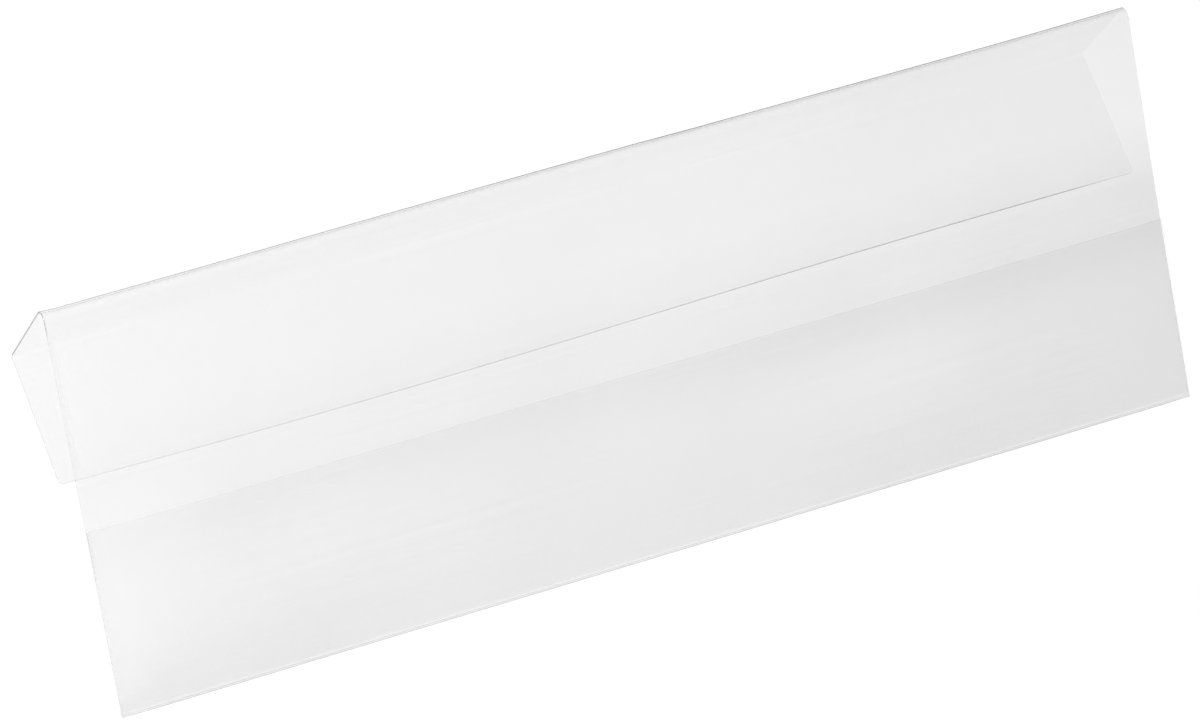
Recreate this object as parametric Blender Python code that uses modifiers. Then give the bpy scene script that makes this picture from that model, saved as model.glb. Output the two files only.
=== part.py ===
"""Clear document pocket that hangs over a rim by a folded hook.

One wide film is folded three times. From the mouth it runs down the low front panel, round the
bottom fold, up the full-height back panel, over the ridge crease, along the top strip that sits on
a rim, round the rear crease and down the rear flap. Two side welds close the ends of the pocket.

Metres, +Z up, +X along the width, the front faces -Y. The origin is the rim seat, a point on the
underside of the top strip. Headings in the section are angles in the YZ plane, from +Y towards +Z.
"""

import math
from dataclasses import dataclass

import bmesh
import bpy
from mathutils import Vector

MM = 0.001

# The sheet that the pocket takes: a landscape A5 cut in half along its length
SHEET_WIDTH = 210.0 * MM
SHEET_HEIGHT = 74.0 * MM
SIDE_CLEARANCE = 1.5 * MM
HEAD_CLEARANCE = 0.6 * MM

# Film and the pocket that it makes
FILM = 0.3 * MM
SLOT_GAP = 0.6 * MM
POCKET_DEPTH = 34.5 * MM
WELD_WIDTH = 1.5 * MM

# Hook: depths run from fold line to fold line, and from fold line to free edge
STRIP_DEPTH = 25.0 * MM
FLAP_DEPTH = 25.0 * MM
RIDGE_ANGLE = math.radians(60.0)
REAR_ANGLE = math.radians(87.0)
RIDGE_INNER_RADIUS = 1.4 * MM
REAR_INNER_RADIUS = 0.7 * MM
CORNER_RADIUS = 1.2 * MM
SEAT_FROM_RIDGE = 8.0 * MM

# Parting line between a fold or weld and the flat film beside it
PARTING = 0.05 * MM

# Facets, and the marks that show the hinge lines
FOLD_FACET = math.radians(10.0)
CORNER_SEGMENTS = 5
MARK_SIZE = 10.0 * MM

# Sizes that follow
WIDTH = SHEET_WIDTH + 2.0 * (SIDE_CLEARANCE + WELD_WIDTH)
PANEL_HEIGHT = SHEET_HEIGHT + HEAD_CLEARANCE
SLOT_RADIUS = (SLOT_GAP + FILM) / 2.0
RIDGE_RADIUS = RIDGE_INNER_RADIUS + FILM / 2.0
REAR_RADIUS = REAR_INNER_RADIUS + FILM / 2.0

QUARTER = math.pi / 2.0
BOTTOM_TURN = math.pi
RIDGE_TURN = RIDGE_ANGLE - math.pi
REAR_TURN = REAR_ANGLE - math.pi


@dataclass(frozen=True)
class Finish:
    """Look of a stretch of film."""

    colour: tuple
    roughness: float
    alpha: float


CLEAR = Finish((0.93, 0.94, 0.94), 0.12, 0.22)
CREASED = Finish((0.90, 0.91, 0.91), 0.25, 0.32)
WELDED = Finish((0.86, 0.87, 0.87), 0.30, 0.45)


def along(heading):
    """Unit vector of a heading in the section."""
    return Vector((0.0, math.cos(heading), math.sin(heading)))


def tangent_length(turn, radius):
    """Distance from a fold line, where the flat films would meet, to the start of the round fold."""
    return radius * math.tan(abs(turn) / 2.0)


@dataclass
class Run:
    """Flat stretch of the film: first point, heading and length, on the film's mid surface."""

    start: Vector
    heading: float
    length: float

    @property
    def end(self):
        """Last point of the run."""
        return self.start + along(self.heading) * self.length


@dataclass
class Bend:
    """Round fold of the film: first point and heading, turn (positive from +Y to +Z) and radius."""

    start: Vector
    heading: float
    turn: float
    radius: float

    def spoke(self, turned):
        """Heading from the centre to the film once it has turned by part of the fold."""
        return self.heading + turned - math.copysign(QUARTER, self.turn)

    @property
    def centre(self):
        """Centre of the fold."""
        return self.start - along(self.spoke(0.0)) * self.radius

    @property
    def end(self):
        """Last point of the fold."""
        return self.centre + along(self.spoke(self.turn)) * self.radius

    @property
    def hinge(self):
        """Hinge line that keeps the film's length when the fold is opened flat."""
        half = abs(self.turn) / 2.0
        return self.centre + along(self.spoke(self.turn / 2.0)) * (self.radius * half / math.sin(half))


def follow_film(mouth):
    """Follows the film from the middle of the pocket's mouth to the edge of the flap."""
    ridge_tangent = tangent_length(RIDGE_TURN, RIDGE_RADIUS)
    rear_tangent = tangent_length(REAR_TURN, REAR_RADIUS)
    front = Run(mouth, -QUARTER, POCKET_DEPTH - SLOT_RADIUS - FILM / 2.0)
    bottom = Bend(front.end, front.heading, BOTTOM_TURN, SLOT_RADIUS)
    back = Run(bottom.end, front.heading + BOTTOM_TURN, PANEL_HEIGHT - SLOT_RADIUS - RIDGE_RADIUS - FILM)
    ridge = Bend(back.end, back.heading, RIDGE_TURN, RIDGE_RADIUS)
    strip = Run(ridge.end, back.heading + RIDGE_TURN, STRIP_DEPTH - ridge_tangent - rear_tangent)
    rear = Bend(strip.end, strip.heading, REAR_TURN, REAR_RADIUS)
    flap = Run(rear.end, strip.heading + REAR_TURN, FLAP_DEPTH - rear_tangent)
    return front, bottom, back, ridge, strip, rear, flap


def fold_section():
    """The film's runs and bends with the rim seat, under the strip, at the origin."""
    strip = follow_film(Vector())[4]
    from_strip_start = SEAT_FROM_RIDGE - tangent_length(RIDGE_TURN, RIDGE_RADIUS)
    underside = along(strip.heading - QUARTER) * (FILM / 2.0)
    seat = strip.start + along(strip.heading) * from_strip_start + underside
    return follow_film(-seat)


def clear_scene():
    """Removes whatever the scene holds."""
    for obj in list(bpy.data.objects):
        bpy.data.objects.remove(obj, do_unlink=True)


def film_material(name, finish):
    """Plastic film: a Principled surface that is mostly see-through."""
    material = bpy.data.materials.new(name)
    material.use_nodes = True
    shader = material.node_tree.nodes["Principled BSDF"]
    shader.inputs["Base Color"].default_value = (*finish.colour, 1.0)
    shader.inputs["Roughness"].default_value = finish.roughness
    shader.inputs["Metallic"].default_value = 0.0
    shader.inputs["Alpha"].default_value = finish.alpha
    return material


def add_mark(name, place, collection):
    """Empty that marks the rim seat or a hinge line, and carries the pieces that stay with it."""
    mark = bpy.data.objects.new(name, None)
    mark.empty_display_size = MARK_SIZE
    mark.location = place
    collection.objects.link(mark)
    return mark


def add_piece(name, bm, finish, carrier, place, tilt=0.0):
    """Makes a named object from a bmesh, carried by a mark, at a place in the world."""
    mesh = bpy.data.meshes.new(name)
    bm.to_mesh(mesh)
    bm.free()
    mesh.materials.append(film_material(name, finish))
    obj = bpy.data.objects.new(name, mesh)
    carrier.users_collection[0].objects.link(obj)
    obj.parent = carrier
    obj.location = place - carrier.location
    obj.rotation_euler.x = tilt
    return obj


def thicken(obj):
    """Gives an open mid surface the thickness of the film, half on each side."""
    solidify = obj.modifiers.new("film", "SOLIDIFY")
    solidify.thickness = FILM
    solidify.offset = 0.0
    solidify.use_even_offset = True


def flat_film(name, run, finish, carrier, fold_before=True, fold_after=True, corner_radius=0.0):
    """Flat film along a run, parted from the folds at its ends, with its last corners rounded."""
    trim_before = PARTING if fold_before else 0.0
    trim_after = PARTING if fold_after else 0.0
    length = run.length - trim_before - trim_after
    middle = run.start + along(run.heading) * (trim_before + length / 2.0)

    bm = bmesh.new()
    bmesh.ops.create_grid(bm, x_segments=1, y_segments=1, size=0.5)
    bmesh.ops.scale(bm, vec=(WIDTH, length, 1.0), verts=bm.verts)
    if corner_radius > 0.0:
        bmesh.ops.bevel(
            bm,
            geom=[v for v in bm.verts if v.co.y > 0.0],
            offset=corner_radius,
            offset_type="OFFSET",
            segments=CORNER_SEGMENTS,
            profile=0.5,
            affect="VERTICES",
        )
    thicken(add_piece(name, bm, finish, carrier, middle, run.heading))


def round_film(name, bend, finish, carrier):
    """Round fold: a line along the width, turned about the fold's centre and thickened."""
    bm = bmesh.new()
    first = bend.start - bend.centre
    ends = [bm.verts.new((x, first.y, first.z)) for x in (-WIDTH / 2.0, WIDTH / 2.0)]
    bm.edges.new(ends)

    obj = add_piece(name, bm, finish, carrier, bend.centre)
    screw = obj.modifiers.new("fold", "SCREW")
    screw.axis = "X"
    screw.angle = bend.turn
    screw.steps = math.ceil(abs(bend.turn) / FOLD_FACET)
    screw.render_steps = screw.steps
    screw.use_merge_vertices = False
    thicken(obj)


def side_weld(name, side, front, carrier):
    """Seam bar between the front and back films, flush with their ends, as tall as the pocket."""
    height = front.length - PARTING
    across = SLOT_GAP - 2.0 * PARTING
    outwards = side * (WIDTH - WELD_WIDTH) / 2.0

    bm = bmesh.new()
    bmesh.ops.create_cube(bm, size=1.0)
    bmesh.ops.scale(bm, vec=(WELD_WIDTH, across, height), verts=bm.verts)
    add_piece(name, bm, WELDED, carrier, front.start + Vector((outwards, SLOT_RADIUS, -height / 2.0)))


def build():
    """Makes the pocket from its section."""
    clear_scene()
    collection = bpy.data.collections.new("document_pocket")
    bpy.context.scene.collection.children.link(collection)
    front, bottom, back, ridge, strip, rear, flap = fold_section()

    rim_seat = add_mark("rim_seat", Vector(), collection)
    ridge_hinge = add_mark("ridge_hinge", ridge.hinge, collection)
    rear_hinge = add_mark("rear_hinge", rear.hinge, collection)

    flat_film("front_panel", front, CLEAR, ridge_hinge, fold_before=False)
    round_film("bottom_fold", bottom, CREASED, ridge_hinge)
    flat_film("back_panel", back, CLEAR, ridge_hinge)
    side_weld("weld_left", -1.0, front, ridge_hinge)
    side_weld("weld_right", 1.0, front, ridge_hinge)

    round_film("ridge_crease", ridge, CREASED, rim_seat)
    flat_film("top_strip", strip, CLEAR, rim_seat)
    round_film("rear_crease", rear, CREASED, rim_seat)

    flat_film("rear_flap", flap, CLEAR, rear_hinge, fold_after=False, corner_radius=CORNER_RADIUS)


build()
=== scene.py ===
"""Looks of a clear document pocket that hangs over a rim by a folded hook.

One sheet of clear film makes the whole pocket. From its mouth it runs down the front window, round the
bottom fold, up the back panel, over the ridge, along the hook's strip, round the rear crease and down the
hook's flap. A melted bead welds the window to the back panel down each side.

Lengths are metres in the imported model's frame: X along the pocket, Y to the rear, Z up. A place on the
sheet is given by its developed length from the mouth and by X. Side A of the sheet is the one on the
right of the way it runs: the window's outer face, the back panel's rear face and the inside of the hook.
"""

import logging
import math
from dataclasses import dataclass, field
from enum import Enum
from typing import Any

import bpy
import numpy as np
from mathutils import Matrix, Vector


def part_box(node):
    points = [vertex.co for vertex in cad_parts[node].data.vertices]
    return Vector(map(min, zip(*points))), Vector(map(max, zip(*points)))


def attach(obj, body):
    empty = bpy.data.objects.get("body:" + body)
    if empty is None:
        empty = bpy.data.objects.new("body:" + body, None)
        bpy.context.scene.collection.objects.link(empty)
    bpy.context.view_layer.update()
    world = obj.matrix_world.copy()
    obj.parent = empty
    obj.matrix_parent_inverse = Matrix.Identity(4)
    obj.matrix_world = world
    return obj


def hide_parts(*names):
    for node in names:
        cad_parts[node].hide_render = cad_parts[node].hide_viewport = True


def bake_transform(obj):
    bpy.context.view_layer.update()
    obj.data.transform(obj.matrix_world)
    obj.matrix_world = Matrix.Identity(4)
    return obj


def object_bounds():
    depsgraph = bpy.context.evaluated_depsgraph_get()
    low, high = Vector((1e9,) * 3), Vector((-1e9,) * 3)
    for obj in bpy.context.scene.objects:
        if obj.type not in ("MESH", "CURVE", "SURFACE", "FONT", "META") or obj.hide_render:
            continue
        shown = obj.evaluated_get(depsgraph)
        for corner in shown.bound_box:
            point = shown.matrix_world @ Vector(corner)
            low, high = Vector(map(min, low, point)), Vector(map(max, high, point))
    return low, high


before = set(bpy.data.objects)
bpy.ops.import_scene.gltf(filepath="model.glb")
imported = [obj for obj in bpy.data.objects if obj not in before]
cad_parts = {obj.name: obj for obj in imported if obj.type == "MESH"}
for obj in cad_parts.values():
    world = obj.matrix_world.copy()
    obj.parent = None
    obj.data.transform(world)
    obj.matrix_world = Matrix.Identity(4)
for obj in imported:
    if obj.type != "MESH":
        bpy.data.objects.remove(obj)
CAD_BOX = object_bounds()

LOG = logging.getLogger("document_pocket")
MM = 0.001
PHOTO_WIDTH = 1200.0
QUARTER = math.pi / 2.0
NOISE_MIDDLE = 0.5
Table = tuple[tuple[float, float], ...]
Sines = tuple[tuple[float, float, float], ...]


class Mark(Enum):
    """Point attributes that a film mesh carries for its finish.

    HAZE is the share of light that the film stops; on the pocket it also carries painted highlights,
    painted reflections and painted shade. EDGE is a dark line, at cut edges and on the outside of the
    folds, weakened towards the left along the folds and the flap's tip as painted light. CREASE is a
    fold's cloudy line, and SEAM is the welded strip down each side.
    """

    HAZE = "haze"
    EDGE = "edge"
    CREASE = "crease"
    SEAM = "seam"


class Side(Enum):
    """The two ends of the pocket, by the sign of X."""

    LEFT = -1
    RIGHT = 1


class Leg(Enum):
    """The stretches of the sheet, in the order in which it runs from the mouth."""

    WINDOW = "window"
    BOTTOM = "bottom fold"
    BACK = "back panel"
    RIDGE = "ridge"
    STRIP = "strip"
    REAR = "rear crease"
    FLAP = "flap"


class Value:
    """A node socket that takes part in Python arithmetic. Each operator adds one Math node."""

    def __init__(self, graph: "NodeGraph", socket: bpy.types.NodeSocket) -> None:
        """Wraps one output socket of a node in graph."""
        self.graph = graph
        self.socket = socket

    def _math(self, operation: str, first: "Value | float", second: "Value | float") -> "Value":
        """Adds a Math node with the operation on two values."""
        return self.graph.add("ShaderNodeMath", {"operation": operation}, {0: first, 1: second})

    def __add__(self, other: "Value | float") -> "Value":
        """self + other"""
        return self._math("ADD", self, other)

    __radd__ = __add__

    def __sub__(self, other: "Value | float") -> "Value":
        """self - other"""
        return self._math("SUBTRACT", self, other)

    def __rsub__(self, other: "Value | float") -> "Value":
        """other - self"""
        return self._math("SUBTRACT", other, self)

    def __mul__(self, other: "Value | float") -> "Value":
        """self * other"""
        return self._math("MULTIPLY", self, other)

    __rmul__ = __mul__

    def __rtruediv__(self, other: "Value | float") -> "Value":
        """other / self"""
        return self._math("DIVIDE", other, self)

    def __pow__(self, other: "Value | float") -> "Value":
        """self to the power of other"""
        return self._math("POWER", self, other)

    def above(self, least: "Value | float") -> "Value":
        """The larger of self and least."""
        return self._math("MAXIMUM", self, least)

    def below(self, most: float) -> "Value":
        """The smaller of self and most."""
        return self._math("MINIMUM", self, most)


class NodeGraph:
    """The node tree of one material or world, with one method that makes every node."""

    def __init__(self, owner: bpy.types.Material | bpy.types.World) -> None:
        """Empties the owner's node tree.

        Args:
            owner: the material or world whose nodes are written.
        """
        owner.use_nodes = True
        self.tree = owner.node_tree
        self.tree.nodes.clear()

    def add(self, kind: str, settings: dict[str, Any] | None = None,
            sockets: dict[str | int, Any] | None = None, output: str | int = 0) -> Value:
        """Adds a node, sets it up and links it.

        Args:
            kind: the node's type name.
            settings: the node's own properties, set first.
            sockets: input values or links, by socket name or number.
            output: the output socket that is returned.

        Returns:
            The output socket as a Value.
        """
        node = self.tree.nodes.new(kind)
        for name, value in (settings or {}).items():
            setattr(node, name, value)
        for key, value in (sockets or {}).items():
            if isinstance(value, Value):
                self.tree.links.new(value.socket, node.inputs[key])
            else:
                node.inputs[key].default_value = value
        return Value(self, node.outputs[output] if node.outputs else None)

    def mark(self, mark: Mark) -> Value:
        """The film's point attribute of that name."""
        return self.add("ShaderNodeAttribute", {"attribute_name": mark.value}, output="Fac")

    def mix_colour(self, share: Value, first: Any, second: Any) -> Value:
        """Blends two colours by share."""
        return self.add("ShaderNodeMix", {"data_type": "RGBA"}, {0: share, 6: first, 7: second}, output=2)


def grey(level: float) -> tuple[float, float, float, float]:
    """A neutral colour of that linear level."""
    return (level, level, level, 1.0)


@dataclass(frozen=True)
class FilmFinish:
    """Clear film with a light grey haze that thickens at a slant, at cut edges, along folds and at seams.

    The share of light that the haze stops is 1 - (1 - haze) to the power 1 / cosine of the slant, which
    is the law for a ray's longer way through a film that it meets at a slant. Soft clouds and the fine
    streaks of drawn film make it uneven, and the streaks also ripple the gloss.
    """

    name: str
    film_grey: float = 0.52
    edge_grey: float = 0.20
    crease_grey: float = 0.53
    edge_haze: float = 0.55
    crease_haze: float = 0.06
    seam_haze: float = 0.006
    flat_cosine: float = 0.45
    fold_cosine: float = 0.06
    cloud_share: float = 0.20
    cloud_scale: float = 26.0
    streak_share: float = 0.12
    streak_scale: tuple[float, float, float] = (9.0, 1500.0, 1.0)
    gloss_roughness: float = 0.16
    crease_roughness: float = 0.20
    edge_roughness: float = 0.25
    streak_roughness: float = 0.08
    ripple_strength: float = 0.08
    ripple_height: float = 0.2 * MM
    coat_weight: float = 1.0
    coat_index: float = 1.5
    coat_roughness: float = 0.06

    def material(self) -> bpy.types.Material:
        """Writes the film's nodes.

        Returns:
            The material.
        """
        made = bpy.data.materials.new(self.name)
        graph = NodeGraph(made)
        haze, edge, crease, seam = (graph.mark(m) for m in Mark)
        place = graph.add("ShaderNodeTexCoord", output="Object")
        sheet = graph.add("ShaderNodeUVMap", {"uv_map": "sheet"})
        cloud = graph.add("ShaderNodeTexNoise", {}, {
            "Vector": place, "Scale": self.cloud_scale, "Detail": 2.0})
        drawn = graph.add("ShaderNodeMapping", {}, {"Vector": sheet, "Scale": self.streak_scale})
        streak = graph.add("ShaderNodeTexNoise", {}, {"Vector": drawn, "Scale": 1.0, "Detail": 3.0})
        drift = streak - NOISE_MIDDLE
        uneven = 1.0 + (cloud - NOISE_MIDDLE) * self.cloud_share + drift * self.streak_share
        dense = haze * uneven + edge * self.edge_haze + crease * self.crease_haze + seam * self.seam_haze
        facing = graph.add("ShaderNodeLayerWeight", {}, {"Blend": 0.5}, output="Facing")
        least = self.flat_cosine + crease * (self.fold_cosine - self.flat_cosine)
        cosine = (1.0 - facing).above(least)
        stopped = 1.0 - (1.0 - dense).above(0.0) ** (1.0 / cosine)
        fold_tone = graph.mix_colour(crease, grey(self.film_grey), grey(self.crease_grey))
        tone = graph.mix_colour(edge, fold_tone, grey(self.edge_grey))
        worn = self.gloss_roughness + crease * self.crease_roughness + edge * self.edge_roughness
        rough = worn + drift * self.streak_roughness
        ripple = graph.add("ShaderNodeBump", {}, {
            "Strength": self.ripple_strength, "Distance": self.ripple_height, "Height": streak})
        body = graph.add("ShaderNodeBsdfPrincipled", {}, {
            "Base Color": tone, "Roughness": rough, "Normal": ripple, "Specular IOR Level": 0.0,
            "Coat Weight": (1.0 - crease) * self.coat_weight, "Coat IOR": self.coat_index,
            "Coat Roughness": self.coat_roughness})
        clear = graph.add("ShaderNodeBsdfTransparent")
        surface = graph.add("ShaderNodeMixShader", {}, {0: stopped.below(1.0), 1: clear, 2: body})
        graph.add("ShaderNodeOutputMaterial", {}, {"Surface": surface})
        return made


@dataclass(frozen=True)
class BeadFinish:
    """Film that melted and set again in the side seams: clouded, with fine ripples across the bead."""

    name: str = "welded_bead"
    thin_grey: float = 0.68
    thick_grey: float = 0.52
    haze: float = 0.02
    cloud_share: float = 0.5
    cloud_scale: float = 420.0
    least_roughness: float = 0.22
    cloud_roughness: float = 0.20
    ripple_strength: float = 0.4
    ripple_height: float = 0.1 * MM

    def material(self) -> bpy.types.Material:
        """Writes the bead's nodes.

        Returns:
            The material.
        """
        made = bpy.data.materials.new(self.name)
        graph = NodeGraph(made)
        place = graph.add("ShaderNodeTexCoord", output="Object")
        cloud = graph.add("ShaderNodeTexNoise", {}, {
            "Vector": place, "Scale": self.cloud_scale, "Detail": 3.0})
        bump = graph.add("ShaderNodeBump", {}, {
            "Strength": self.ripple_strength, "Distance": self.ripple_height, "Height": cloud})
        rough = self.least_roughness + cloud * self.cloud_roughness
        tone = graph.mix_colour(cloud, grey(self.thin_grey), grey(self.thick_grey))
        body = graph.add("ShaderNodeBsdfPrincipled", {}, {
            "Base Color": tone, "Roughness": rough, "Normal": bump})
        clear = graph.add("ShaderNodeBsdfTransparent")
        share = self.haze * (1.0 + (cloud - NOISE_MIDDLE) * self.cloud_share)
        surface = graph.add("ShaderNodeMixShader", {}, {0: share, 1: clear, 2: body})
        graph.add("ShaderNodeOutputMaterial", {}, {"Surface": surface})
        return made


@dataclass(frozen=True)
class FloorFinish:
    """Pale floor that the camera, mirrors and clear film meet as white, and that still takes a shadow.

    The lamps light it near the pocket only, so its own glow rises a little away from there.
    """

    name: str = "pale_floor"
    level: float = 0.60
    near_glow: float = 0.68
    far_glow: float = 0.75
    near: float = 0.30
    far: float = 1.10

    def material(self) -> bpy.types.Material:
        """Writes the floor's nodes.

        Returns:
            The material.
        """
        made = bpy.data.materials.new(self.name)
        graph = NodeGraph(made)
        matt = graph.add("ShaderNodeBsdfDiffuse", {}, {"Color": grey(self.level)})
        place = graph.add("ShaderNodeTexCoord", output="Object")
        away = graph.add("ShaderNodeVectorMath", {"operation": "LENGTH"}, {0: place}, output="Value")
        glow = graph.add("ShaderNodeMapRange", {"interpolation_type": "SMOOTHSTEP"}, {
            "Value": away, "From Min": self.near, "From Max": self.far,
            "To Min": self.near_glow, "To Max": self.far_glow})
        light = graph.add("ShaderNodeEmission", {}, {"Strength": seen_directly(graph) * glow})
        surface = graph.add("ShaderNodeAddShader", {}, {0: matt, 1: light})
        graph.add("ShaderNodeOutputMaterial", {}, {"Surface": surface})
        return made


def seen_directly(graph: NodeGraph) -> Value:
    """1 for a ray from the camera, from a mirror or through clear material, and 0 for scattered light."""
    rays = [graph.add("ShaderNodeLightPath", output=f"Is {kind} Ray")
            for kind in ("Camera", "Glossy", "Transmission")]
    return (rays[0] + rays[1] + rays[2]).below(1.0)


@dataclass(frozen=True)
class Stretch:
    """One straight or round stretch of the folded sheet.

    A straight stretch has a length and no turn. A round one has a radius and a turn, in radians, positive
    towards the left of the way the sheet runs.
    """

    leg: Leg
    length: float
    radius: float = 0.0
    turn: float = 0.0
    rows: int = 2


@dataclass(frozen=True)
class FoldLine:
    """The line that a fold leaves in the film. Its place and spread are shares of the bend's length."""

    bend: Leg
    place: float
    spread: float


@dataclass
class FoldedSection:
    """The sheet's middle line in the YZ plane, from the mouth to the flap's free edge.

    The driving sizes are those of the part. The film, the slot and the mouth's place come from the frame.
    """

    panel_height: float = 74.6 * MM
    pocket_depth: float = 34.5 * MM
    strip_depth: float = 25.0 * MM
    flap_depth: float = 25.0 * MM
    ridge_angle: float = math.radians(60.0)
    rear_angle: float = math.radians(87.0)
    ridge_radius: float = 1.55 * MM
    rear_radius: float = 0.85 * MM
    close_rows: tuple[float, ...] = (0.12 * MM, 0.25 * MM, 0.4 * MM, 0.6 * MM, 0.9 * MM)
    snap: int = 9
    film: float = field(init=False)
    slot_radius: float = field(init=False)
    width: float = field(init=False)
    mouth: np.ndarray = field(init=False)
    stretches: list[Stretch] = field(init=False)

    def __post_init__(self) -> None:
        """Reads the film, slot, width and mouth from the frame and lists the stretches."""
        front_low, front_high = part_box("front_panel")
        back_low, back_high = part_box("back_panel")
        self.film = back_high.y - back_low.y
        front_middle = (front_low.y + front_high.y) / 2.0
        back_middle = (back_low.y + back_high.y) / 2.0
        self.slot_radius = (back_middle - front_middle) / 2.0
        self.width = back_high.x - back_low.x
        self.mouth = np.array([front_middle, front_high.z])
        half = self.film / 2.0
        ridge_turn = math.pi - self.ridge_angle
        rear_turn = math.pi - self.rear_angle
        ridge_tangent = self.ridge_radius * math.tan(ridge_turn / 2.0)
        rear_tangent = self.rear_radius * math.tan(rear_turn / 2.0)
        window = self.pocket_depth - self.slot_radius - half
        back = self.panel_height - self.slot_radius - self.ridge_radius - 2.0 * half
        strip = self.strip_depth - ridge_tangent - rear_tangent
        self.stretches = [
            Stretch(Leg.WINDOW, window, rows=26),
            self._bend(Leg.BOTTOM, self.slot_radius, math.pi, rows=17),
            Stretch(Leg.BACK, back, rows=46),
            self._bend(Leg.RIDGE, self.ridge_radius, -ridge_turn, rows=25),
            Stretch(Leg.STRIP, strip, rows=18),
            self._bend(Leg.REAR, self.rear_radius, -rear_turn, rows=19),
            Stretch(Leg.FLAP, self.flap_depth - rear_tangent, rows=22),
        ]

    @staticmethod
    def _bend(leg: Leg, radius: float, turn: float, rows: int) -> Stretch:
        """A round stretch, whose length is its radius times its turn."""
        return Stretch(leg, radius * abs(turn), radius, turn, rows)

    def start_of(self, leg: Leg) -> float:
        """Developed length from the mouth to where a stretch starts."""
        before = self.stretches[: [s.leg for s in self.stretches].index(leg)]
        return sum(s.length for s in before)

    def end_of(self, leg: Leg) -> float:
        """Developed length from the mouth to where a stretch ends."""
        return self.start_of(leg) + next(s.length for s in self.stretches if s.leg is leg)

    def along(self, leg: Leg, lengths: np.ndarray) -> np.ndarray:
        """How far along a stretch each length is, by share: 0 where it starts and 1 where it ends."""
        start = self.start_of(leg)
        return (lengths - start) / (self.end_of(leg) - start)

    def stations(self, first: Leg, last: Leg) -> np.ndarray:
        """Rows of the mesh from one stretch to another, closer together in the bends.

        Args:
            first: the stretch that they start with.
            last: the stretch that they end with.

        Returns:
            Rising developed lengths.
        """
        legs = [s.leg for s in self.stretches]
        kept = self.stretches[legs.index(first): legs.index(last) + 1]
        rows = [self.start_of(s.leg) + self._rows(s) for s in kept]
        return np.unique(np.round(np.concatenate(rows), self.snap))

    def _rows(self, stretch: Stretch) -> np.ndarray:
        """Rows of one stretch: evenly spread, with a few more at the ends of a straight one.

        Args:
            stretch: the stretch.

        Returns:
            Lengths from where it starts, in no order.
        """
        even = np.linspace(0.0, stretch.length, stretch.rows)
        close = np.array([] if stretch.turn else self.close_rows)
        return np.concatenate([even, close, stretch.length - close])

    def follow(self, lengths: np.ndarray) -> tuple[np.ndarray, np.ndarray, np.ndarray]:
        """Places on the middle line.

        On a straight stretch the place moves along the heading. On a round one it turns about the centre,
        which lies one radius to the left or right, by the length run divided by the radius.

        Args:
            lengths: developed lengths from the mouth.

        Returns:
            The (y, z) places, the headings in radians, and the turn made within the bend, all per length.
        """
        places = np.zeros((len(lengths), 2))
        headings = np.zeros(len(lengths))
        turned = np.zeros(len(lengths))
        point, heading, start = self.mouth.copy(), -QUARTER, 0.0
        for stretch in self.stretches:
            inside = lengths >= start - 10.0**-self.snap
            run = np.clip(lengths[inside] - start, 0.0, stretch.length)
            local, angle = self._run(stretch, point, heading, run)
            places[inside] = local
            headings[inside] = heading + angle
            turned[inside] = np.where(lengths[inside] <= start + stretch.length, np.abs(angle), 0.0)
            ends, turn = self._run(stretch, point, heading, np.array([stretch.length]))
            point, heading, start = ends[0], heading + turn[0], start + stretch.length
        return places, headings, turned

    @staticmethod
    def _run(stretch: Stretch, point: np.ndarray, heading: float,
             run: np.ndarray) -> tuple[np.ndarray, np.ndarray]:
        """Runs some lengths into one stretch.

        Args:
            stretch: the stretch.
            point: where it starts.
            heading: the way the sheet runs there, in radians.
            run: lengths from there.

        Returns:
            The (y, z) places and the turns made, in radians.
        """
        if not stretch.turn:
            way = np.array([math.cos(heading), math.sin(heading)])
            return point + run[:, None] * way, np.zeros(len(run))
        sense = math.copysign(1.0, stretch.turn)
        angle = sense * run / stretch.radius
        spoke = heading - sense * QUARTER
        centre = point - stretch.radius * np.array([math.cos(spoke), math.sin(spoke)])
        turn = spoke + angle
        return centre + stretch.radius * np.stack([np.cos(turn), np.sin(turn)], axis=1), angle

    def on_fold(self, lengths: np.ndarray, line: FoldLine) -> np.ndarray:
        """A bell about a fold line: 1 on it, falling to nothing beside it, at each length."""
        return bell(self.along(line.bend, lengths) - line.place, line.spread)


@dataclass(frozen=True)
class Border:
    """How a film ends: over depth its half thickness rises from nothing as a quarter of an ellipse.

    One more row lies at its shoulder, so that a mark on the border alone ends there.
    """

    depth: float
    shoulder: float
    steps: int = 3

    def rise(self) -> tuple[np.ndarray, np.ndarray]:
        """The border's rows, at angles a from 0 to a quarter turn, and its shoulder.

        Returns:
            Distances from the border, depth * (1 - cos a), and shares of the thickness, sin a.
        """
        angle = np.linspace(0.0, QUARTER, self.steps + 1)
        away, share = self.depth * (1.0 - np.cos(angle)), np.sin(angle)
        return np.append(away, self.shoulder), np.append(share, 1.0)


def bordered(stations: np.ndarray, first: Border, last: Border) -> tuple[np.ndarray, np.ndarray]:
    """Adds the rows of both borders to a run of stations.

    Stations within two border depths of either end give way to them.

    Args:
        stations: rising places from one border to the other.
        first: the border at the low end.
        last: the border at the high end.

    Returns:
        The places with the borders' own, and the share of the film's thickness at each.
    """
    low, low_share = first.rise()
    high, high_share = last.rise()
    clear = 2.0 * max(first.depth, last.depth)
    inner = stations[(stations > stations[0] + clear) & (stations < stations[-1] - clear)]
    places = np.concatenate([stations[0] + low, inner, stations[-1] - high[::-1]])
    shares = np.concatenate([low_share, np.ones(len(inner)), high_share[::-1]])
    return places, shares


def smooth_step(value: np.ndarray, low: float, high: float) -> np.ndarray:
    """0 below low, 1 above high, and 3 t^2 - 2 t^3 between them."""
    t = np.clip((value - low) / (high - low), 0.0, 1.0)
    return t * t * (3.0 - 2.0 * t)


def bell(distance: np.ndarray, reach: np.ndarray | float) -> np.ndarray:
    """exp(-(distance / reach) squared): 1 at no distance, and next to nothing two reaches away."""
    return np.exp(-((distance / reach) ** 2))


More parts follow.
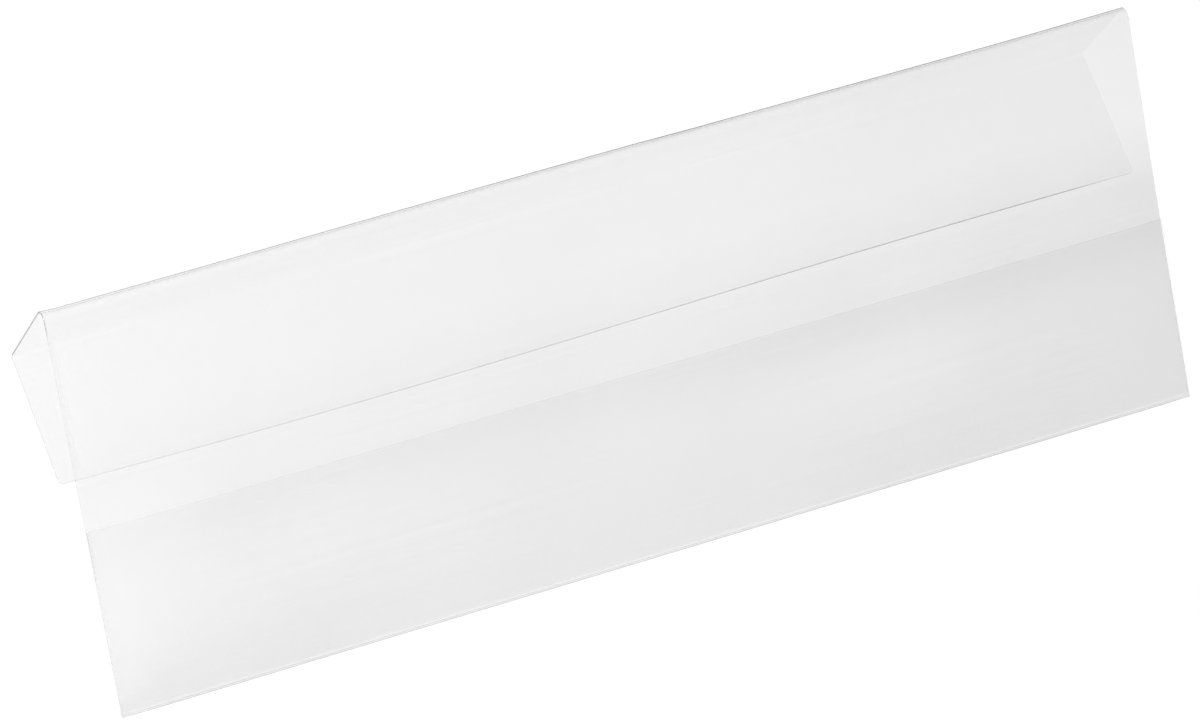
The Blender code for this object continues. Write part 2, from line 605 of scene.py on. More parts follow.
def read_off(table: Table, places: np.ndarray) -> np.ndarray:
    """Values of a table of (place, value) pairs at other places, on straight lines between the pairs."""
    return np.interp(places, *np.array(table).T)


def quads(index: np.ndarray) -> np.ndarray:
    """Quads over a grid of vertex numbers, wound so that they face rows crossed with columns."""
    corners = (index[:-1, :-1], index[1:, :-1], index[1:, 1:], index[:-1, 1:])
    return np.stack(corners, axis=-1).reshape(-1, 4)


def new_object(name: str, points: np.ndarray, faces: list[list[int]],
               material: bpy.types.Material) -> bpy.types.Object:
    """Makes a smooth-shaded mesh object at the origin.

    Args:
        name: the piece's name.
        points: vertex places, one row each.
        faces: vertex numbers of each face.
        material: what dresses it.

    Returns:
        The object, linked to the scene.
    """
    mesh = bpy.data.meshes.new(name)
    mesh.from_pydata(points.tolist(), [], faces)
    mesh.polygons.foreach_set("use_smooth", np.ones(len(mesh.polygons), bool))
    mesh.materials.append(material)
    mesh.validate()
    made = bpy.data.objects.new(name, mesh)
    bpy.context.scene.collection.objects.link(made)
    return made


@dataclass
class FilmShell:
    """A closed film about a middle surface given on a grid.

    Side A is the middle plus its normal times the half thickness, side B is the middle minus it. The half
    thickness is nothing along the grid's border, where the two sides share their vertices. A mark is one
    grid for both sides or a pair of grids, for A and B.
    """

    middle: np.ndarray
    normal: np.ndarray
    half: np.ndarray
    marks: dict[Mark, np.ndarray]
    sheet: np.ndarray

    def build(self, name: str, material: bpy.types.Material) -> bpy.types.Object:
        """Makes the film's object with its marks and its UV map.

        Args:
            name: the piece's name.
            material: what dresses it.

        Returns:
            The film's object.
        """
        rows, columns = self.half.shape
        side_a = np.arange(rows * columns).reshape(rows, columns)
        side_b = side_a.copy()
        inner = (rows - 2) * (columns - 2)
        side_b[1:-1, 1:-1] = rows * columns + np.arange(inner).reshape(rows - 2, columns - 2)
        offset = self.normal * self.half[..., None]
        points = self._both(self.middle + offset, self.middle - offset)
        faces = np.concatenate([quads(side_a), quads(side_b)[:, ::-1]])
        made = new_object(name, points, faces.tolist(), material)
        for mark, level in self.marks.items():
            on_a, on_b = np.broadcast_to(level, (2, rows, columns))[..., None]
            values = self._both(on_a, on_b).ravel()
            attribute = made.data.attributes.new(mark.value, "FLOAT", "POINT")
            attribute.data.foreach_set("value", values.astype(np.float32))
        corner = np.zeros(len(made.data.loops), np.int32)
        made.data.loops.foreach_get("vertex_index", corner)
        places = self._both(self.sheet, self.sheet)[corner]
        made.data.uv_layers.new(name="sheet").data.foreach_set("uv", places.astype(np.float32).ravel())
        return made

    @staticmethod
    def _both(side_a: np.ndarray, side_b: np.ndarray) -> np.ndarray:
        """Grid values in vertex order: all of side A, then side B without its border."""
        depth = side_a.shape[-1]
        return np.concatenate([side_a.reshape(-1, depth), side_b[1:-1, 1:-1].reshape(-1, depth)])


@dataclass
class FilmPiece:
    """What the two film pieces share: columns, borders, marks and the way from the sheet to space."""

    section: FoldedSection
    column_step: float = 1.4 * MM
    seam_depth: float = 0.002 * MM
    seam_shoulder: float = 0.020 * MM
    edge_reach: float = 0.22 * MM
    end_haze: float = 0.135
    end_blur: float = 0.9 * MM
    strip_haze: float = 0.022
    strip_end_haze: float = 0.020
    crease_end: float = 7.6 * MM

    @property
    def cut(self) -> Border:
        """A cut edge, rounded over half the film's thickness, with a row where its mark ends."""
        return Border(self.section.film / 2.0, self.edge_reach)

    @property
    def butt(self) -> Border:
        """The end where the sheet runs on into the next piece: square, with next to no rounding."""
        return Border(self.seam_depth, self.seam_shoulder, steps=1)

    def columns(self) -> tuple[np.ndarray, np.ndarray]:
        """Columns across the sheet, evenly spread between its two cut edges.

        Returns:
            X places and the share of the thickness at each.
        """
        half = self.section.width / 2.0
        count = 2 * round(half / self.column_step) + 1
        return bordered(np.linspace(-half, half, count), self.cut, self.cut)

    def across_share(self, x: np.ndarray) -> np.ndarray:
        """How far across the sheet each column is: 0 at its left end and 1 at its right."""
        return x / self.section.width + 0.5

    def off_wall(self, to_seam: np.ndarray) -> np.ndarray:
        """0 on a butt seam's end wall, which is inside the film and stops no light, and 1 elsewhere."""
        return np.where(to_seam < self.seam_shoulder / 2.0, 0.0, 1.0)

    def left_end(self, x: np.ndarray, reach: np.ndarray | float) -> np.ndarray:
        """1 at the sheet's left end, falling to 0 about reach away from it."""
        return 1.0 - smooth_step(x + self.section.width / 2.0 - reach, -self.end_blur, self.end_blur)

    def surface(self, lengths: np.ndarray,
                across: np.ndarray) -> tuple[np.ndarray, np.ndarray, np.ndarray]:
        """The unbowed sheet: its section carried along X.

        Args:
            lengths: developed length of each row.
            across: X of every vertex, one row for each length.

        Returns:
            The middle surface, its normals on side A and the turn made in each row's bend.
        """
        places, headings, turned = self.section.follow(lengths)
        rows, columns = across.shape
        middle = np.zeros((rows, columns, 3))
        middle[..., 0] = across
        middle[..., 1:] = places[:, None, :]
        normal = np.zeros((rows, columns, 3))
        normal[..., 1] = np.sin(headings)[:, None]
        normal[..., 2] = -np.cos(headings)[:, None]
        return middle, normal, turned

    def edge_mark(self, distance: np.ndarray) -> np.ndarray:
        """1 on a cut edge, falling to 0 over the edge's reach."""
        return 1.0 - smooth_step(distance, 0.0, self.edge_reach)

    def side_marks(self, x: np.ndarray, left: np.ndarray, right: np.ndarray) -> np.ndarray:
        """Marks of the two side edges, each as strong as its row's figure says.

        Args:
            x: X of each column.
            left: how much the left edge shows in each row.
            right: how much the right edge shows in each row.

        Returns:
            The marks, by row and column.
        """
        half = self.section.width / 2.0
        on_left = left[:, None] * self.edge_mark(half + x)[None, :]
        on_right = right[:, None] * self.edge_mark(half - x)[None, :]
        return on_left + on_right


@dataclass(frozen=True)
class PaintedLightPatch:
    """A painted patch on the pocket: a painted reflection that leaves it clearer and lighter, or, where
    its share is negative, painted shade that leaves it cloudier and darker.
    """

    x: float
    height: float
    reach_x: float
    reach_height: float
    share: float

    def gone(self, x: np.ndarray, height: np.ndarray) -> np.ndarray:
        """The share of the haze that is gone: a bell along X times a bell upwards.

        Args:
            x: X of each column.
            height: distance of each row from the bottom fold.

        Returns:
            Shares, by row and column.
        """
        along = bell(x - self.x, self.reach_x)
        upwards = bell(height - self.height, self.reach_height)
        return self.share * upwards[:, None] * along[None, :]


@dataclass
class PocketSheet(FilmPiece):
    """The sheet from the mouth to the end of the hook's strip.

    That is the window, the bottom fold, the back panel, the ridge and the strip. The table of the back
    panel's haze runs over shares of its height, and the other tables over shares of the sheet's width.
    """

    pinch: float = 0.50 * MM
    pinch_reach: float = 7.0 * MM
    bow: float = 0.15 * MM
    wave_height: float = 0.18 * MM
    waves: Sines = (
        (1.0, 92.0 * MM, 0.6), (0.6, 57.0 * MM, 2.1), (0.4, 31.0 * MM, 4.0))
    seam_width: float = 1.5 * MM
    seam_inner: float = 1.2 * MM
    seam_blur: float = 1.0 * MM
    window_haze: float = 0.022
    # Painted reflection: extra haze, so darker bands, at the mouth and just above the bottom fold.
    mouth_shade_haze: float = 0.030
    mouth_reach: float = 7.0 * MM
    mouth_strength: float = 0.12
    bottom_shade_haze: float = 0.012
    bottom_reach: float = 9.0 * MM
    fold_haze: float = 0.080
    ridge_blur: float = 0.6 * MM
    # The back panel's haze: its level is the panel's own, and its rise and fall up the panel, lightest
    # about three quarters of the way up, is painted light and shade.
    back_haze: Table = (
        (0.0, 0.192), (0.45, 0.204), (0.58, 0.188), (0.62, 0.160), (0.75, 0.129), (0.96, 0.142),
        (0.98, 0.143), (1.0, 0.155))
    # Painted highlight: the pocket's haze thins, so it is lighter, in a soft zone at its left end.
    lit_share: float = 0.20
    lit_reach: float = 20.0 * MM
    lit_reach_least: float = 0.05
    lit_reach_full: float = 0.6
    lit_rise: tuple[float, float] = (0.02, 0.12)
    lit_fall: tuple[float, float] = (1.0, 1.3)
    # Painted reflections where a share is positive, painted shade where it is negative.
    painted_patches: tuple[PaintedLightPatch, ...] = (
        PaintedLightPatch(46.0 * MM, 21.0 * MM, 27.0 * MM, 9.0 * MM, 0.17),
        PaintedLightPatch(18.0 * MM, 64.0 * MM, 34.0 * MM, 26.0 * MM, 0.11),
        PaintedLightPatch(-10.0 * MM, 26.0 * MM, 20.0 * MM, 14.0 * MM, 0.08),
        PaintedLightPatch(-64.0 * MM, 27.0 * MM, 16.0 * MM, 8.0 * MM, 0.06),
        PaintedLightPatch(-60.0 * MM, 47.0 * MM, 26.0 * MM, 14.0 * MM, -0.09),
        PaintedLightPatch(-58.0 * MM, 9.0 * MM, 30.0 * MM, 6.0 * MM, -0.05),
        PaintedLightPatch(-103.0 * MM, 58.0 * MM, 9.0 * MM, 14.0 * MM, -0.13),
        PaintedLightPatch(-76.0 * MM, 71.0 * MM, 22.0 * MM, 3.5 * MM, -0.11),
        PaintedLightPatch(106.0 * MM, 42.0 * MM, 8.0 * MM, 9.0 * MM, -0.06),
    )
    # Painted shade: more haze, so a darker film, low in the pocket's left corner.
    corner_shade_haze: float = 0.07
    corner_shade_reach: float = 55.0 * MM
    bottom_line: FoldLine = FoldLine(Leg.BOTTOM, 0.42, 0.20)
    ridge_line: FoldLine = FoldLine(Leg.RIDGE, 0.81, 0.16)
    # Painted light: the fold lines are weaker towards the left, where the key lamp falls, and stronger to
    # the right.
    bottom_strength: Table = ((0.0, 0.04), (0.3, 0.08), (0.6, 0.14), (0.84, 0.20), (1.0, 0.14))
    ridge_strength: Table = (
        (0.0, 0.30), (0.15, 0.46), (0.35, 0.56), (0.54, 0.84), (0.58, 1.15), (0.62, 0.86), (0.66, 0.70),
        (0.73, 0.84), (0.97, 0.63), (1.0, 0.40))
    ridge_rise: Table = (
        (0.0, 0.19 * MM), (0.012, 0.0), (0.14, 0.0), (0.3, 0.16 * MM), (0.42, 0.205 * MM),
        (0.54, 0.19 * MM), (0.585, 0.05 * MM), (0.7, -0.03 * MM), (0.86, -0.15 * MM), (0.92, -0.13 * MM),
        (1.0, 0.04 * MM))
    ridge_rise_reach: float = 25.0 * MM
    # Painted glint: a thin line of less haze, so lighter, just above the bottom fold.
    fold_glint: float = 0.03
    fold_glint_place: float = 0.7 * MM
    fold_glint_reach: float = 0.25 * MM

    def build(self, finish: FilmFinish) -> bpy.types.Object:
        """Makes the sheet, from the mouth to the end of the strip.

        Args:
            finish: what dresses it.

        Returns:
            The piece.
        """
        s = self.section
        lengths, row_share = bordered(s.stations(Leg.WINDOW, Leg.STRIP), self.cut, self.butt)
        x, column_share = self.columns()
        across = np.tile(x, (len(lengths), 1))
        middle, normal, turned = self.surface(lengths, across)
        middle = middle + normal * self.unevenness(lengths, x)[..., None]
        middle[..., 1] += self.drawn_in(lengths, turned, x)
        middle[..., 2] += self.ridge_stray(lengths, x)
        half = s.film / 2.0 * row_share[:, None] * column_share[None, :]
        sheet = np.stack([across, np.tile(lengths[:, None], len(x))], axis=-1)
        shell = FilmShell(middle, normal, half, self.marks(lengths, x), sheet)
        made = shell.build("pocket_sheet", finish.material())
        ends = s.follow(np.array([s.start_of(Leg.RIDGE), s.end_of(Leg.RIDGE)]))[0]
        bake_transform(made)
        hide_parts("front_panel", "bottom_fold", "back_panel", "ridge_crease", "top_strip")
        return made

    def marks(self, lengths: np.ndarray, x: np.ndarray) -> dict[Mark, np.ndarray]:
        """The sheet's marks. A fold's dark line is on its outside alone: A at the bottom, B at the ridge.

        Args:
            lengths: developed length of each row.
            x: X of each column.

        Returns:
            Each mark, by row and column, or one such grid for each side.
        """
        s = self.section
        across = self.across_share(x)
        ones = np.ones(len(x))
        bottom = s.on_fold(lengths, self.bottom_line)[:, None] * ones
        ridge = s.on_fold(lengths, self.ridge_line)[:, None] * ones
        mouth = self.mouth_strength * self.edge_mark(lengths)[:, None] * ones
        edge = np.maximum(mouth, self.side_marks(x, *self.side_strengths(lengths)))
        outer_bottom = np.maximum(edge, bottom * read_off(self.bottom_strength, across))
        outer_ridge = np.maximum(edge, ridge * read_off(self.ridge_strength, across))
        seam_end = s.end_of(Leg.BOTTOM) + s.end_of(Leg.WINDOW)
        in_pocket = 1.0 - smooth_step(lengths, seam_end, seam_end + self.seam_blur)
        on_seam = 1.0 - smooth_step(s.width / 2.0 - np.abs(x), self.seam_inner, self.seam_width)
        return {
            Mark.HAZE: self.haze(lengths, x) * self.off_wall(lengths[-1] - lengths)[:, None],
            Mark.EDGE: np.stack([outer_bottom, outer_ridge]),
            Mark.CREASE: np.stack([bottom, np.maximum(bottom, ridge)]),
            Mark.SEAM: in_pocket[:, None] * on_seam[None, :],
        }

    def haze(self, lengths: np.ndarray, x: np.ndarray) -> np.ndarray:
        """How much light each place of the sheet stops.

        The back panel is read off its table, and the strip is clear but for its left end. The pocket has
        painted shade low in its left corner and a painted glint in a line beside the bottom fold. Both
        fade as bells.

        Args:
            lengths: developed length of each row.
            x: X of each column.

        Returns:
            Haze, by row and column.
        """
        s = self.section
        fold_start, fold_end = s.start_of(Leg.BOTTOM), s.end_of(Leg.BOTTOM)
        into_back = smooth_step(lengths, fold_start, fold_end)
        into_strip = smooth_step(lengths, s.end_of(Leg.RIDGE), s.end_of(Leg.RIDGE) + self.ridge_blur)
        back = read_off(self.back_haze, s.along(Leg.BACK, lengths))
        rows = self.window_rows(lengths) * (1.0 - into_back) + back * into_back * (1.0 - into_strip)
        height = np.abs(lengths - (fold_start + fold_end) / 2.0)
        # Painted glint beside the bottom fold.
        painted_glint = self.fold_glint * bell(height - self.fold_glint_place, self.fold_glint_reach)
        rows = np.maximum(rows - painted_glint, 0.0)
        # Painted shade low in the left corner of the pocket.
        low = bell(np.maximum(fold_start - lengths, 0.0), self.bottom_reach) * (1.0 - into_back)
        corner = self.corner_shade_haze * bell(x + s.width / 2.0, self.corner_shade_reach)
        reach = self.crease_end * np.clip(s.along(Leg.STRIP, lengths), 0.0, 1.0)
        strip = self.strip_haze + self.strip_end_haze * self.left_end(x[None, :], reach[:, None])
        pocket = rows[:, None] * self.painted_light_factor(height, x) + low[:, None] * corner[None, :]
        return pocket + into_strip[:, None] * strip

    def painted_light_factor(self, height: np.ndarray, x: np.ndarray) -> np.ndarray:
        """What the pocket's haze is multiplied by for its painted highlight, reflections and shade.

        It falls towards the left end, as a bell whose reach grows with the height, which is a painted
        highlight, and in each patch: a positive share is a painted reflection that lowers it, a negative
        share painted shade that raises it.

        Args:
            height: distance of each row from the bottom fold.
            x: X of each column.

        Returns:
            Factors about 1, by row and column.
        """
        high = height / self.section.end_of(Leg.WINDOW)
        # Painted highlight at the left end, and painted reflections and shade in each patch.
        lit = smooth_step(high, *self.lit_rise) * (1.0 - smooth_step(high, *self.lit_fall))
        reach = self.lit_reach * np.clip(high / self.lit_reach_full, self.lit_reach_least, 1.0)
        from_left = x + self.section.width / 2.0
        gone = self.lit_share * lit[:, None] * bell(from_left[None, :], reach[:, None])
        return 1.0 - gone - sum(patch.gone(x, height) for patch in self.painted_patches)

    def window_rows(self, lengths: np.ndarray) -> np.ndarray:
        """Haze of the window's rows: clear, but for bells of painted reflection, darker bands, at its
        mouth and above its fold.

        Round the fold itself the haze rises and falls as sin^2.

        Args:
            lengths: developed length of each row.

        Returns:
            Haze, by row.
        """
        s = self.section
        # Painted reflection: darker bands of haze at the mouth and above the fold.
        mouth_shade = self.mouth_shade_haze * bell(lengths, self.mouth_reach)
        to_fold = np.maximum(s.end_of(Leg.WINDOW) - lengths, 0.0)
        above_fold_shade = self.bottom_shade_haze * bell(to_fold, self.bottom_reach)
        round_fold = np.clip(s.along(Leg.BOTTOM, lengths), 0.0, 1.0)
        return self.window_haze + mouth_shade + above_fold_shade + self.fold_haze * np.sin(math.pi * round_fold) ** 2

    def side_strengths(self, lengths: np.ndarray) -> tuple[np.ndarray, np.ndarray]:
        """How much the two cut edges show in each row, read off tables of developed lengths.

        Args:
            lengths: developed length of each row.

        Returns:
            Strengths of the left edge and of the right edge, by row.
        """
        s = self.section
        bottom, back, ridge = s.start_of(Leg.BOTTOM), s.start_of(Leg.BACK), s.start_of(Leg.RIDGE)
        left = (
            (0.0, 0.55), (5.0 * MM, 0.40), (11.0 * MM, 0.08), (bottom - 3.0 * MM, 0.04), (bottom, 0.25),
            (back + 3.0 * MM, 0.05), (back + 35.0 * MM, 0.08), (ridge - 4.0 * MM, 0.10),
            (ridge - 1.5 * MM, 0.9), (ridge, 1.0))
        right = ((ridge - 1.0 * MM, 0.0), (ridge, 0.15), (s.end_of(Leg.RIDGE), 0.0))
        return read_off(left, lengths), read_off(right, lengths)

    def drawn_in(self, lengths: np.ndarray, turned: np.ndarray, x: np.ndarray) -> np.ndarray:
        """How far the welds draw the window back to the panel, and how far it bows forward between them.

        The pull is pinch times a smooth step towards each side. It holds over the window and dies round
        the bottom fold as (1 + cos turn) / 2. The bow is greatest at the middle of the mouth.

        Args:
            lengths: developed length of each row.
            turned: turn made in each row's bend.
            x: X of each column.

        Returns:
            Moves along Y, by row and column.
        """
        s = self.section
        side = 1.0 - smooth_step(s.width / 2.0 - np.abs(x), 0.0, self.pinch_reach)
        hold = np.where(lengths <= s.end_of(Leg.BOTTOM), (1.0 + np.cos(turned)) / 2.0, 0.0)
        from_bottom = np.clip(1.0 - s.along(Leg.WINDOW, lengths), 0.0, 1.0)
        arch = 1.0 - (2.0 * x / s.width) ** 2
        bow = self.bow * smooth_step(from_bottom, 0.0, 1.0)[:, None] * arch[None, :]
        return self.pinch * hold[:, None] * side[None, :] - bow

    def ridge_stray(self, lengths: np.ndarray, x: np.ndarray) -> np.ndarray:
        """How far the ridge strays up and down along the pocket.

        The rise is read off its table. It holds round the ridge and dies away, as a smooth step, down the
        back panel and along the strip.

        Args:
            lengths: developed length of each row.
            x: X of each column.

        Returns:
            Moves along Z, by row and column.
        """
        s = self.section
        start = s.start_of(Leg.RIDGE)
        near = smooth_step(lengths, start - self.ridge_rise_reach, start)
        near = near * (1.0 - smooth_step(lengths, s.start_of(Leg.STRIP), s.end_of(Leg.STRIP)))
        return near[:, None] * read_off(self.ridge_rise, self.across_share(x))[None, :]

    def unevenness(self, lengths: np.ndarray, x: np.ndarray) -> np.ndarray:
        """Slow waves of the loose back panel: sines along X, times sin^2 up it, so both folds are still.

        Args:
            lengths: developed length of each row.
            x: X of each column.

        Returns:
            Moves along the normal, by row and column.
        """
        up = np.clip(self.section.along(Leg.BACK, lengths), 0.0, 1.0)
        still = np.sin(math.pi * up) ** 2
        along = sum(size * np.sin(2.0 * math.pi * x / length + phase)
                    for size, length, phase in self.waves)
        return self.wave_height * still[:, None] * along[None, :]


@dataclass
class HookFlap(FilmPiece):
    """The hook's flap with the rear crease that it hangs from. Its table is over shares of the width."""

    corner_radius: float = 0.9 * MM
    flap_haze: float = 0.039
    crease_blur: float = 0.5 * MM
    tip_end: float = 3.5 * MM
    # Painted light: the tip's dark line is weak at the left, where the key lamp falls, and strongest
    # towards the right.
    tip_strength: Table = (
        (0.0, 0.0), (0.02, 0.3), (0.15, 0.45), (0.5, 0.62), (0.65, 0.85), (0.85, 1.0), (0.94, 1.0),
        (0.97, 0.35), (1.0, 0.1))
    left_strength: float = 0.3
    bow_power: float = 1.5
    lean: float = 1.3 * MM
    lean_fall: float = 0.75
    first_bow: float = 1.6 * MM
    second_bow: float = 1.42 * MM

    def build(self, finish: FilmFinish) -> bpy.types.Object:
        """Makes the flap with its rear crease.

        Args:
            finish: what dresses it.

        Returns:
            The piece.
        """
        s = self.section
        lengths, row_share = bordered(s.stations(Leg.REAR, Leg.FLAP), self.butt, self.cut)
        x, column_share = self.columns()
        corner = self.corner_cut(lengths[-1] - lengths)
        across = x[None, :] * (1.0 - corner / (s.width / 2.0))[:, None]
        middle, normal, _ = self.surface(lengths, across)
        hung = np.clip(s.along(Leg.FLAP, lengths), 0.0, 1.0)
        middle = middle - normal * (hung[:, None] ** self.bow_power * self.bow(x)[None, :])[..., None]
        half = s.film / 2.0 * row_share[:, None] * column_share[None, :]
        sheet = np.stack([across, np.tile(lengths[:, None], len(x))], axis=-1)
        shell = FilmShell(middle, normal, half, self.marks(lengths, x, hung), sheet)
        made = shell.build("hook_flap", finish.material())
        ends = s.follow(np.array([s.start_of(Leg.REAR), s.end_of(Leg.REAR)]))[0]
        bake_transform(made)
        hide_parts("rear_crease", "rear_flap")
        return made

    def marks(self, lengths: np.ndarray, x: np.ndarray, hung: np.ndarray) -> dict[Mark, np.ndarray]:
        """The flap's marks: haze, and the dark lines of its free edge and its left edge.

        Args:
            lengths: developed length of each row.
            x: X of each column.
            hung: share of the flap's depth at each row.

        Returns:
            Each mark, by row and column.
        """
        tip = read_off(self.tip_strength, self.across_share(x))
        on_tip = self.edge_mark(lengths[-1] - lengths)[:, None] * tip[None, :]
        none = np.zeros(len(lengths))
        sides = self.side_marks(x, none + self.left_strength, none)
        return {
            Mark.HAZE: self.haze(lengths, x, hung),
            Mark.EDGE: np.maximum(on_tip, sides),
            Mark.CREASE: np.zeros_like(sides),
            Mark.SEAM: np.zeros_like(sides),
        }

    def haze(self, lengths: np.ndarray, x: np.ndarray, hung: np.ndarray) -> np.ndarray:
        """How much light each place of the flap stops: little, but for more haze at its left end.

        Args:
            lengths: developed length of each row.
            x: X of each column.
            hung: share of the flap's depth at each row.

        Returns:
            Haze, by row and column.
        """
        s = self.section
        reach = self.crease_end + hung * (self.tip_end - self.crease_end)
        level = self.flap_haze + self.end_haze * self.left_end(x[None, :], reach[:, None])
        round_crease = smooth_step(lengths, s.start_of(Leg.REAR), s.end_of(Leg.REAR) + self.crease_blur)
        start = self.strip_haze + self.strip_end_haze * self.left_end(x, self.crease_end)
        level = start[None, :] * (1.0 - round_crease)[:, None] + level * round_crease[:, None]
        return level * self.off_wall(lengths - lengths[0])[:, None]

    def corner_cut(self, to_tip: np.ndarray) -> np.ndarray:
        """How much the rounded corners take off each half width: r - sqrt(r^2 - (r - distance)^2)."""
        short = np.clip(self.corner_radius - to_tip, 0.0, self.corner_radius)
        return self.corner_radius - np.sqrt(self.corner_radius**2 - short**2)

    def bow(self, x: np.ndarray) -> np.ndarray:
        """How far the free edge bows outwards: a lean, half a sine wave and a whole one along the pocket.

        Args:
            x: X of each column.

        Returns:
            Moves against the normal, by column.
        """
        across = self.across_share(x)
        half_wave = self.first_bow * np.sin(math.pi * across)
        whole_wave = self.second_bow * np.sin(2.0 * math.pi * across)
        return half_wave + whole_wave + self.lean * (1.0 - self.lean_fall * across)


@dataclass
class SideWeld:
    """The melted bead that joins the window to the back panel down one side.

    The pinch is how far the window is drawn back there. Each swell is a sine down the bead: its size, its
    rate and its phase.
    """

    section: FoldedSection
    side: Side
    pinch: float
    half_width: float = 0.20 * MM
    half_depth: float = 0.42 * MM
    proud: float = 0.06 * MM
    end_power: int = 24
    swells: Sines = ((0.10, 47.0, 1.0), (0.07, 101.0, 0.0))
    stations: int = 90
    spokes: int = 16

    def build(self, material: bpy.types.Material) -> bpy.types.Object:
        """Makes the bead: an ellipse carried down the side, its ends drawn in to a point.

        Args:
            material: what dresses it.

        Returns:
            The piece.
        """
        s = self.section
        top = s.mouth[1]
        bottom = top - s.pocket_depth
        share = np.linspace(0.0, 1.0, self.stations + 2)[1:-1]
        around = np.linspace(0.0, 2.0 * math.pi, self.spokes, endpoint=False)
        size = self.thickness(share)[:, None]
        centre_x = self.side.value * (s.width / 2.0 + self.proud - self.half_width)
        centre_y = s.mouth[0] + (2.0 * s.slot_radius + self.pinch) / 2.0
        ring = np.zeros((len(share), self.spokes, 3))
        ring[..., 0] = centre_x + self.half_width * size * np.cos(around)
        ring[..., 1] = centre_y + self.half_depth * size * np.sin(around)
        ring[..., 2] = (top + share * (bottom - top))[:, None]
        poles = np.array([[centre_x, centre_y, top], [centre_x, centre_y, bottom]])
        points = np.concatenate([ring.reshape(-1, 3), poles])
        index = np.arange(ring.shape[0] * self.spokes).reshape(ring.shape[0], self.spokes)
        looped = np.concatenate([index, index[:, :1]], axis=1)
        first = np.stack([looped[0, :-1], looped[0, 1:], np.full(self.spokes, len(points) - 2)], axis=1)
        last = np.stack([looped[-1, 1:], looped[-1, :-1], np.full(self.spokes, len(points) - 1)], axis=1)
        faces = quads(looped).tolist() + first.tolist() + last.tolist()
        made = new_object(f"weld_bead_{self.side.name.lower()}", points, faces, material)
        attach(made, "pocket")
        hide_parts(f"weld_{self.side.name.lower()}")
        return made

    def thickness(self, share: np.ndarray) -> np.ndarray:
        """Relative thickness down the bead: sqrt(1 - (2 share - 1)^power), times 1 plus the swells."""
        end = np.sqrt(np.clip(1.0 - (2.0 * share - 1.0) ** self.end_power, 0.0, 1.0))
        return end * (1.0 + sum(size * np.sin(rate * share + phase) for size, rate, phase in self.swells))


@dataclass(frozen=True)
class Lamp:
    """One soft area lamp, aimed at a point of the object."""

    name: str
    place: tuple[float, float, float]
    aim: tuple[float, float, float]
    size: float
    watts: float

    def build(self) -> bpy.types.Object:
        """Makes the lamp and turns it to its aim.

        Returns:
            The lamp's object.
        """
        data = bpy.data.lights.new(self.name, "AREA")
        data.shape = "DISK"
        data.size = self.size
        data.energy = self.watts
        made = bpy.data.objects.new(self.name, data)
        made.location = self.place
        made.rotation_euler = (Vector(self.aim) - Vector(self.place)).to_track_quat("-Z", "Y").to_euler()
        bpy.context.scene.collection.objects.link(made)
        return made


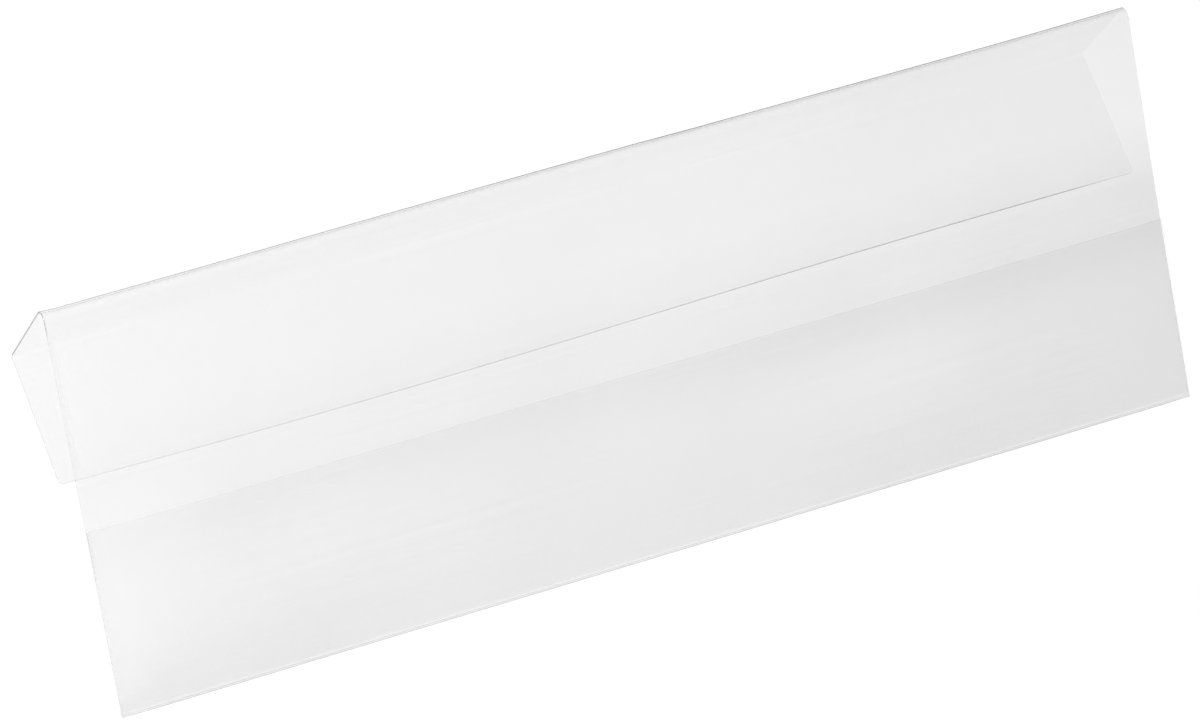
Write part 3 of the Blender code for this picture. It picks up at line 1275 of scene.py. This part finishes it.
@dataclass
class Studio:
    """White surroundings, pale floor, soft lamps and the camera at the photograph's angle."""

    azimuth: float = math.radians(-22.118)
    elevation: float = math.radians(15.147)
    roll: float = math.radians(-10.190)
    aim: tuple[float, float, float] = (-6.81 * MM, -7.061 * MM, -33.403 * MM)
    distance: float = 1.5262
    focal_pixels: float = 8525.0
    sensor: float = 36.0
    clip: tuple[float, float] = (0.05, 100.0)
    clear_layers: int = 32
    floor_drop: float = 0.10
    floor_size: float = 40.0
    floor_steps: int = 5
    ambient: float = 0.40
    lamps: tuple[Lamp, ...] = (
        Lamp("key", (-0.34, -0.26, 0.16), (-0.03, -0.007, -0.03), 0.16, 2.6),
        Lamp("rear_fill", (0.9, 1.6, 1.2), (0.0, 0.0, -0.03), 0.80, 3.0),
    )

    def build(self) -> None:
        """Sets the colour transform and makes the world, floor, lamps and camera."""
        scene = bpy.context.scene
        scene.view_settings.view_transform = "Standard"
        scene.cycles.transparent_max_bounces = self.clear_layers
        self.world()
        self.floor()
        for lamp in self.lamps:
            lamp.build()
        self.camera()

    def world(self) -> None:
        """White where it is seen, and a plain soft level as light."""
        made = bpy.data.worlds.new("studio")
        graph = NodeGraph(made)
        strength = self.ambient + seen_directly(graph) * (1.0 - self.ambient)
        light = graph.add("ShaderNodeBackground", {}, {"Color": grey(1.0), "Strength": strength})
        graph.add("ShaderNodeOutputWorld", {}, {"Surface": light})
        bpy.context.scene.world = made

    def floor(self) -> None:
        """A wide level sheet below the hanging pocket."""
        half = self.floor_size / 2.0
        steps = np.linspace(-half, half, self.floor_steps)
        x, y = np.meshgrid(steps, steps, indexing="ij")
        level = np.full_like(x, CAD_BOX[0].z - self.floor_drop)
        points = np.stack([x, y, level], axis=-1).reshape(-1, 3)
        faces = quads(np.arange(x.size).reshape(x.shape)).tolist()
        new_object("studio_floor", points, faces, FloorFinish().material())

    def camera(self) -> None:
        """A long lens that looks back along the azimuth and elevation, turned by the roll."""
        data = bpy.data.cameras.new("camera")
        data.sensor_width = self.sensor
        data.lens = self.focal_pixels / PHOTO_WIDTH * self.sensor
        data.clip_start, data.clip_end = self.clip
        back = Vector((math.sin(self.azimuth) * math.cos(self.elevation),
                       -math.cos(self.azimuth) * math.cos(self.elevation), math.sin(self.elevation)))
        made = bpy.data.objects.new("camera", data)
        turn = (-back).to_track_quat("-Z", "Y").to_matrix() @ Matrix.Rotation(self.roll, 3, "Z")
        made.matrix_world = Matrix.Translation(Vector(self.aim) + back * self.distance) @ turn.to_4x4()
        bpy.context.scene.collection.objects.link(made)
        bpy.context.scene.camera = made


def report(piece: bpy.types.Object) -> None:
    """Logs a piece's name and how many faces it has."""
    LOG.info("%s: %d faces", piece.name, len(piece.data.polygons))


def main() -> None:
    """Builds the pocket's pieces and the studio, and reports each piece."""
    logging.basicConfig(level=logging.INFO, format="%(message)s")
    section = FoldedSection()
    sheet = PocketSheet(section)
    report(sheet.build(FilmFinish("clear_film")))
    report(HookFlap(section).build(FilmFinish("hook_film")))
    bead = BeadFinish().material()
    for side in Side:
        report(SideWeld(section, side, sheet.pinch).build(bead))
    Studio().build()


if __name__ == "__main__":
    main()
